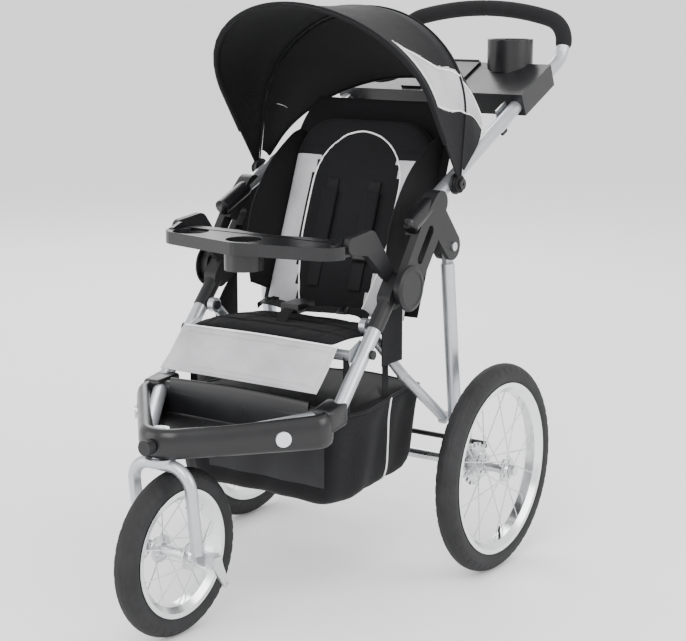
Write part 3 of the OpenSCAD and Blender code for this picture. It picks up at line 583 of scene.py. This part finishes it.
rear_rows = hood_panel("hood_rear_cloth", "canopy_rear_panel", "handle_frame", 39, 81.2, 1.2, 34, 44, 6)
front_rows = hood_panel("hood_front_cloth", "canopy_front_panel", "canopy_front", 79.8, 122.8, 8.4, 12, 44, 7)
print("hood cuts in metres", [round(v, 3) for v in cut_size(rear_rows) + cut_size(front_rows)])

# %% [markdown]
# ## Hood piping and binding
# The front edge is a fat roll of cloth over the front bow, and thin white piping runs along the band.
# The piping follows the hood by working out its places from the same hoops as the cloth.

# %% Hood piping and binding
def on_hood(a, t, lift=2.8):
    rear = a <= 80.5
    g = 1.2 if rear else 8.4
    reach, tt = hoop_reach(a), math.radians(t)
    f = (a - 39) / 42.2 if rear else (a - 79.8) / 43
    dip = (6 if rear else 7) * max(0, math.sin(math.pi * min(max(f, 0), 1))) ** 0.8
    x, r = -(216.5 + g) * math.cos(tt), reach - 190 + (190 + g) * math.sin(tt)
    inward = np.array([-x, reach - 60 - r])
    inward /= np.linalg.norm(inward)
    x, r = np.array([x, r]) + inward * (dip - lift)
    c, s = math.cos(math.radians(a)), math.sin(math.radians(a))
    return np.array([x * MM, (535 + r * c) * MM + AXLE_Y, (718.41 + r * s) * MM])


for side, word in ((1, "left"), (-1, "right")):
    def way(a, t):
        return on_hood(a, t if side > 0 else 180 - t)
    for part, body, angles in (("rear", "handle_frame", np.linspace(39.4, 79.6, 20)),
                               ("front", "canopy_front", np.linspace(81.4, band_front, 20))):
        for edge, line in (("top", band_top), ("low", band_low)):
            path = eased([way(a, np.interp(a, *line)) for a in angles], 60)
            cordlike("hood_piping_%s_%s_%s" % (part, edge, word), path, 1.5, body, white_piping, 8)
    ends = np.interp(band_front, *band_top), np.interp(band_front, *band_low)
    path = [way(band_front, t) for t in np.linspace(*ends, 14)]
    cordlike("hood_piping_end_" + word, eased(path, 30), 1.5, "canopy_front", white_piping, 8)

edge_line = hoop(124.1, 8.7, 92, 160)
cordlike("hood_front_binding", edge_line, 4.8, "canopy_front", hood_cloth, 14)
cordlike("hood_rear_hem", hoop(39.5, 0, 36, 140), 2.0, "handle_frame", hood_cloth, 10)
cordlike("hood_middle_seam", hoop(82.4, 9.0, 16, 140), 2.0, "canopy_front", hood_cloth, 8)
print("hood binding length %.0f mm" % (np.linalg.norm(np.diff(edge_line, axis=0), axis=1).sum() / MM))

# %% [markdown]
# ## Padded panels
# A sewn pad is two sheets joined round the edge with filling between them. It is thickest in the middle and pinches
# to nothing at the seam, and each stitched line pulls a channel across it. One helper bends such a pad along a
# profile; the seat and calf rest each give their own.

# %% A helper for pads
def pad_rows(profile, half_width, thick, channels=(), ribs=(), n=90, m=110, belly=0.55, puff=3.0):
    """Closed rings across a pad: over the top from one side and back underneath."""
    path = eased(profile, n)
    t = np.gradient(path, axis=0)
    t /= np.linalg.norm(t, axis=1)[:, None]
    up = np.stack([-t[:, 1], t[:, 0]], 1)
    rows = []
    for i in range(n):
        v = i / (n - 1)
        wide = half_width(v) if callable(half_width) else half_width
        ring = []
        for k in range(m):
            a = k * math.tau / m
            u = math.cos(a)
            u = math.copysign(abs(u) ** 0.75, u)
            full = (max(0.0, 1 - abs(u) ** 6) ** 0.5) * (max(0.0, 1 - abs(2 * v - 1) ** 10) ** 0.5)
            x = u * wide
            dent = sum(math.exp(-((v - c) * n / 1.3) ** 2) for c in channels)
            dent += sum(math.exp(-((abs(x) - c) / 2.4) ** 2) for c in ribs)
            lift = thick / 2 * full * (1 if math.sin(a) >= 0 else -belly)
            if math.sin(a) >= 0:
                lift += full * (puff * (1 - u * u) - 3.2 * min(1, dent)
                                + 0.7 * math.sin(x / 13.0 + 3 * v) * math.sin(v * 19))
            p = path[i] + up[i] * lift
            ring.append(spot(x, p[0], p[1]))
        rows.append(ring)
    return np.array(rows)


print("pad helper ready")

# %% [markdown]
# ## Seat pad and calf rest
# The seat pad is black with double stitched channels. The calf rest hangs in front of it, light grey,
# with white piping on its upper edge and a stitched border set in from its sides.

# %% Seat pad and calf rest
seat_rows = pad_rows([(243, 470), (300, 471), (370, 465), (441, 457)], 150, 20,
                     channels=(0.2, 0.235, 0.5, 0.535, 0.8), ribs=(60, 66, 118), puff=2.0)
seat = skin("seat_pad", seat_rows, "front_frame", [black_cloth], ringed=True, capped=True)
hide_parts("seat_cushion")

calf_rows = pad_rows([(170, 404), (203, 434), (236, 469)], lambda v: 169 - 3 * v, 9,
                     channels=(0.1, 0.88), ribs=(158,), puff=1.5, n=70)
calf = skin("calf_rest_pad", calf_rows, "front_frame", [grey_cloth], ringed=True, capped=True)
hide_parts("calf_rest")
top_edge = spots([(x, 236.5, 470 + 1.2 * math.cos(x / 60)) for x in np.linspace(-165, 165, 50)])
low_edge = spots([(x, 169.5, 403.5) for x in np.linspace(-168, 168, 50)])
cordlike("calf_rest_piping", top_edge, 2.0, "front_frame", white_piping)
cordlike("calf_rest_hem", low_edge, 1.6, "front_frame", grey_cloth)
print("seat pad and calf rest made")

# %% [markdown]
# ## Backrest
# The backrest leans back from its fold. Its rounded black middle is outlined by white piping, and the
# side wings are light grey and stand forward a little to hold the child. It is one closed pad, with
# its faces coloured by where they lie, and the piping follows the same outline.

# %% Backrest
LEAN, FOLD = math.radians(21), (452, 474)
STITCHED = (92, 98, 176, 182, 262, 268)      # heights of the stitched lines, in pairs


def on_back(x, out, up):
    """A place on the leaning back: out is towards the child, up is along the back."""
    y = FOLD[0] - out * math.cos(LEAN) + up * math.sin(LEAN)
    z = FOLD[1] + out * math.sin(LEAN) + up * math.cos(LEAN)
    return spot(x, y, z)


def back_half(up):
    return 151 if up < 298 else 81 + math.sqrt(max(0, 70 ** 2 - (up - 298) ** 2))


def insert_half(up):
    """Half width of the black middle at a height."""
    if up > 240:
        return 96 * math.sqrt(max(0, 1 - ((up - 240) / 104) ** 2))
    return 96 - 30 * (max(0, 150 - up) / 150) ** 1.6


def back_face(x, up):
    half = back_half(up)
    edge = max(0.0, 1 - (abs(x) / half) ** 8) ** 0.5 * max(0.0, 1 - abs((up - 186) / 182) ** 16) ** 0.5
    wing = max(0, abs(x) - insert_half(up)) / 60
    seam = 2.4 * math.exp(-((abs(x) - insert_half(up)) / 3.0) ** 2) * (up < 330)
    lines = sum(math.exp(-((up - c) / 2.0) ** 2) for c in STITCHED) if abs(x) < insert_half(up) else 0
    return edge * (3.5 + 8 * min(1, wing) * (1 if up < 310 else 0.3) + 1.5 * math.cos(x / 40) - seam
                   - 1.8 * min(1, lines) + 0.5 * math.sin(x / 15 + up / 23))


back_n, back_m = 130, 96
back_rows, back_shade = [], []
for up in np.linspace(4.5, 367.5, back_n):
    ring, shade = [], []
    for k in range(back_m):
        a = k * math.tau / back_m
        u = math.copysign(abs(math.cos(a)) ** 0.8, math.cos(a))
        x = u * back_half(up)
        front = math.sin(a) >= 0
        out = back_face(x, up) if front else -28 - 1.0 * math.cos(x / 50)
        rim = max(0.0, 1 - abs(u) ** 14) ** 0.5
        ring.append(on_back(x, -14 + (out + 14) * rim, up))
        shade.append(front and abs(x) > insert_half(up) and up < 292)
    back_rows.append(ring)
    back_shade.append(shade)
backrest = skin("backrest_pad", back_rows, "backrest", [black_cloth, grey_cloth], ringed=True, capped=True,
                pick=lambda i, j: back_shade[i][j])
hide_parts("backrest")
outline = [(insert_half(up), up) for up in np.linspace(12, 343.5, 60)]
outline = outline + [(-x, up) for x, up in outline[::-1]]
outline = eased([on_back(x, back_face(x, up) + 1.2, up) for x, up in outline], 240)
cordlike("backrest_piping", outline, 1.7, "backrest", white_piping)
print("backrest made, piping round its middle")

# %% [markdown]
# ## Cloth behind and beside the back
# The pad is sewn to a wide sling that fills the frame behind it, and a cloth wing on each side closes
# the gap to the handle. They lean with the pad, so they ride on the same body.

# %% Sling and side wings of the back
sling_half = 172


def sling_place(u, up):
    """Across the sling from -1 to 1: bowed back in the middle, narrower towards its top."""
    x = u * (sling_half - 30 * max(0, (up - 330) / 90) ** 2)
    share = x / sling_half
    return on_back(x, -31 - 4 * math.cos(share * math.pi / 2) + 5 * abs(share) ** 4, up)


sling_rows = np.array([[sling_place(u, up) for u in np.linspace(-1, 1, 60)] for up in np.linspace(14, 418, 80)])
sling = skin("back_sling", sling_rows, "backrest", [black_cloth])
thicken(sling, 1.6)
for side, word in ((1, "left"), (-1, "right")):
    reach = eased([(30, 50), (90, 84), (160, 96), (250, 72), (320, 24), (345, -6)], 60)
    rows = np.array([[on_back(side * (153.6 - math.sin(math.pi * u)), -27 + (out + 27) * u, up)
                      for u in np.linspace(0, 1, 30)] for up, out in reach])
    wing = skin("back_side_cloth_" + word, rows, "backrest", [black_cloth])
    thicken(wing, 1.6)
    cordlike("back_side_hem_" + word, rows[:, -1], 1.4, "backrest", belt, 8)
print("sling %.3f m2" % area_of(sling_rows))

# %% [markdown]
# ## Harness
# Two shoulder straps with soft covers, two lap straps and a crotch strap meet at one buckle. Flat
# webbing is a rounded flat section carried along a path, and each strap has a small slider on it.

# %% Harness
def over_back(side, lift, heights):
    """Places up the pad on the line of one shoulder strap."""
    return [on_back(side * 46.5, back_face(46.5, up) + lift, up) for up in heights]


for side, word in ((1, "left"), (-1, "right")):
    strap("shoulder_strap_" + word, over_back(side, 2.6, np.linspace(44, 250, 20)), 25, 2.0, "backrest", belt,
          count=60)
    cover = swept(eased(over_back(side, 6.5, np.linspace(122, 229, 12)), 50), flat_section(33, 7.5, 24), (1, 0, 0))
    pad = skin("shoulder_pad_" + word, cover, "backrest", [black_cloth], ringed=True, capped=True)
    if side > 0:
        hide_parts("shoulder_straps")
    slider = swept(over_back(side, 6.5, (98, 106, 114)), flat_section(31, 5), (1, 0, 0))
    skin("shoulder_slider_" + word, slider, "backrest", [satin_plastic], ringed=True, capped=True)
    path = [(side * 20, 350, 500), (side * 60, 368, 499), (side * 104, 388, 496), (side * 118, 402, 484)]
    lap = strap("lap_strap_" + word, spots(path), 25, 2.0, "front_frame", belt, (0, 0.9, 0.2), 30)
    if side > 0:
        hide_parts("lap_straps")
    path = [(side * 72, 374, 500), (side * 80, 377, 499.5), (side * 88, 381, 499)]
    slide = swept(spots(path), flat_section(30, 6), (0, 0.9, 0.2))
    skin("lap_slider_" + word, slide, "front_frame", [satin_plastic], ringed=True, capped=True)
strap("crotch_strap", spots([(0, 298, 481), (0, 312, 495), (0, 330, 502)]), 25, 2.2, "front_frame", belt)
print("harness made")

# %% [markdown]
# ## Basket
# The basket is a cloth bag hung from the frame by straps. Its rim is held straight by a hem, and its
# walls and floor sag between. It is lofted as rings from the rim down, each ring a little smaller and
# rounder, and closed by rings that shrink across the floor.

# %% Basket
plan = [(-168, 214), (168, 214), (180, 300), (150, 540), (-150, 540), (-180, 300)]


centre = np.array([0, 378])


def plan_ring(inset, rounding, count=168):
    p = np.array(plan + [plan[0]], float)
    run = np.concatenate([[0], np.cumsum(np.linalg.norm(np.diff(p, axis=0), axis=1))])
    even = np.linspace(0, run[-1], count, endpoint=False)
    ring = np.stack([np.interp(even, run, p[:, 0]), np.interp(even, run, p[:, 1])], 1)
    for _ in range(rounding):
        ring = (np.roll(ring, 1, 0) + 2 * ring + np.roll(ring, -1, 0)) / 4
    out = ring - centre
    size = np.linalg.norm(out, axis=1)[:, None]
    return centre + out * (1 - inset / size)


# each level of the bag is its height, how far in from the plan, and how much its corners are rounded
levels = [(346, 1.5, 3), (340, 2.5, 3), (332, 3, 4), (316, 6, 6), (298, 8, 8), (280, 9, 10), (260, 10, 12),
          (240, 11, 14), (222, 12, 16), (206, 15, 20), (194, 21, 26), (186, 32, 30), (181, 50, 34),
          (179, 80, 40), (178, 115, 46), (177.4, 145, 50), (177, 164, 60)]
basket_rows = []
for k, (z, inset, rounding) in enumerate(levels):
    ring = plan_ring(inset, rounding)
    turn = np.linspace(0, math.tau, len(ring), endpoint=False)
    sag = 2.2 * np.sin(turn * 13 + k * 0.35) * (1 if 1 < k < 12 else 0)
    dip = 2.5 * np.sin(turn * 6 + 0.8) * (1 if k < 3 else 0)
    out = ring - centre
    out /= np.linalg.norm(out, axis=1)[:, None]
    ring = ring - out * (sag + 2.2)[:, None]
    basket_rows.append([spot(p[0], p[1], z - 2.5 - d + (3 if k > 11 else 0)) for p, d in zip(ring, dip)])
basket_rows = np.array(basket_rows)
bag = skin("basket_bag", basket_rows, "front_frame", [black_cloth, net], ringed=True, capped=True,
           pick=lambda i, j: 1 if (i in (3, 4, 5, 6, 7) and 6 < j < 42) else 0)
thicken(bag, 1.6)
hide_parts("basket")
rim_ring = np.vstack([basket_rows[0], basket_rows[0][:2]])
piping_y = spot(0, 408, 0)[1]
cordlike("basket_hem", rim_ring, 2.6, "front_frame", belt)
for side, word in ((1, "left"), (-1, "right")):
    down = []
    for row in basket_rows[0:13]:
        near = row[np.argmin(np.abs(row[:, 0] - side * 0.163) + np.abs(row[:, 1] - piping_y))]
        down.append(near + np.array([side * 0.0022, 0, 0]))
    cordlike("basket_piping_" + word, eased(down, 60), 1.7, "front_frame", white_piping, 8)
    for place, x, y in (("rear", 153.3, 404), ("front", 167, 260)):
        path = [(side * x, y, 449), (side * x, y, 400), (side * (x + 1), y, 344)]
        piece = strap("basket_strap_%s_%s" % (place, word), spots(path), 20, 1.8, "front_frame", belt, (0, 1, 0))
        if side > 0 and place == "rear":
            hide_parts("basket_straps")
print("basket cloth %.2f m2" % area_of(basket_rows, True))

# %% [markdown]
# ## Side cloth and recline strap
# A cloth panel closes each side below the armrest, with a stitched edge. Behind the backrest one
# webbing strap with a buckle pulls it upright.

# %% Side cloth and recline strap
z_low = 416
for side, word in ((1, "left"), (-1, "right")):
    rows = []
    for v in np.linspace(0, 1, 26):
        row = []
        y = 346 + 66 * v
        z_high = np.interp(y, [346, 372, 412], [480, 512, 548])
        for u in np.linspace(0, 1, 34):
            bulge = 3.0 * math.sin(math.pi * u) * math.sin(math.pi * v)
            row.append(spot(side * (183.2 - bulge), y, z_low + (z_high - z_low) * u))
        rows.append(row)
    rows = np.array(rows)
    piece = skin("side_cloth_" + word, rows, "front_frame", [black_cloth])
    thicken(piece, 1.4)
    if side > 0:
        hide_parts("side_panels")
pull = strap("recline_webbing", spots([(74, 703, 800), (74, 703, 840), (74, 702, 876)]), 25, 2, "handle_frame", belt)
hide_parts("recline_strap")
clip = swept(spots([(74, 700, 848), (74, 699, 858), (74, 698, 868)]), flat_section(30, 8), (1, 0, 0))
skin("recline_buckle", clip, "handle_frame", [satin_plastic], ringed=True, capped=True)
print("side cloth and recline strap made")

# %% [markdown]
# ## Floor, light and camera
# A pale sweep and three large soft lamps show black cloth and silver tube without hard shadows. The
# camera stands a little above the seat, off the front left corner, with a long lens.

# %% Floor, light and camera
def studio_floor():
    made, *_ = finish_base("pale studio floor", (0.93, 0.93, 0.93), 0.8, 0, 0.005, 2)
    line = [(y, 0.0) for y in np.linspace(-9, 9, 10)]
    line += [(9 + 5 * math.sin(a), 5 - 5 * math.cos(a)) for a in np.linspace(0.1, 1.5, 12)]
    rows = np.array([[(x, y, z - 0.0004) for x in np.linspace(-14, 14, 8)] for y, z in line])
    mesh = bpy.data.meshes.new("studio_floor")
    n, m = rows.shape[:2]
    faces = [(i * m + j, i * m + j + 1, (i + 1) * m + j + 1, (i + 1) * m + j)
             for i in range(n - 1) for j in range(m - 1)]
    mesh.from_pydata(rows.reshape(-1, 3).tolist(), [], faces)
    mesh.materials.append(made)
    floor = bpy.data.objects.new("studio_floor", mesh)
    bpy.context.scene.collection.objects.link(floor)


def lamp(name, place, power, size, target=(0, 0, 0.5)):
    data = bpy.data.lights.new(name, "AREA")
    data.energy, data.size = power, size
    made = bpy.data.objects.new(name, data)
    made.location = place
    made.rotation_euler = (Vector(target) - Vector(place)).to_track_quat("-Z", "Y").to_euler()
    bpy.context.scene.collection.objects.link(made)


studio_floor()
lamp("key lamp", (1.0, -3.2, 3.0), 120, 2.6)
lamp("side lamp", (3.6, 0.4, 2.2), 85, 2.4)
lamp("back lamp", (-2.4, 2.4, 2.8), 70, 2.2)
lamp("low lamp", (-2.6, -2.8, 1.2), 40, 2.4)
world = bpy.data.worlds.new("white room")
world.use_nodes = True
world.node_tree.nodes["Background"].inputs["Color"].default_value = (1, 1, 1, 1)
world.node_tree.nodes["Background"].inputs["Strength"].default_value = 1.5
bpy.context.scene.world = world

lens_data = bpy.data.cameras.new("view")
lens_data.lens, lens_data.sensor_width = 85.58, 36
viewer = bpy.data.objects.new("view", lens_data)
viewer.location = (1.67367, -2.42560, 1.08301)
viewer.rotation_euler = (Vector((0, 0.04789, 0.450)) - viewer.location).to_track_quat("-Z", "Y").to_euler()
bpy.context.scene.collection.objects.link(viewer)
bpy.context.scene.camera = viewer
print("studio ready")
